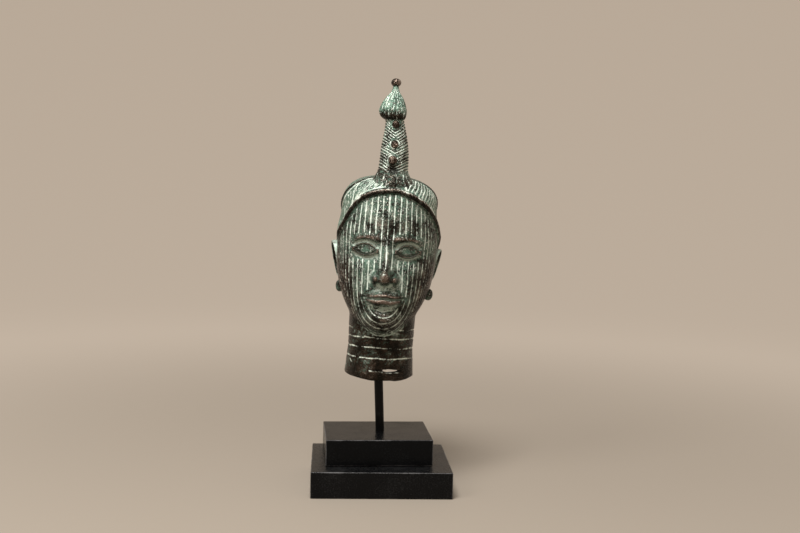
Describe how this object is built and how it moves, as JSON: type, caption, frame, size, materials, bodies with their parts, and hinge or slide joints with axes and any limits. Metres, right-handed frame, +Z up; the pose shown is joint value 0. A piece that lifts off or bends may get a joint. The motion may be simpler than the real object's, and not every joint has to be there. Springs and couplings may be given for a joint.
{
  "type": "crowned bronze head on a stand",
  "caption": "Small hollow-cast bronze head with ringed neck, striated face, banded crown and tall crest, held on a leaning rod over a stepped black wooden plinth.",
  "frame": {"origin": "centre of the lower plinth block's underside", "axes": "+Z up, the face looks towards -Y, +X to the viewer's right"},
  "size_m": [0.095, 0.0969, 0.2804],
  "materials": {
    "aged_bronze": "cast bronze, dark brown with pale green verdigris in the grooves and worn high points",
    "black_steel": "satin black",
    "black_painted_wood": "satin black paint"
  },
  "bodies": {
    "root": {"bronze_head": "aged_bronze", "rod": "black_steel", "plinth_upper": "black_painted_wood", "plinth_lower": "black_painted_wood"}
  },
  "joints": []
}
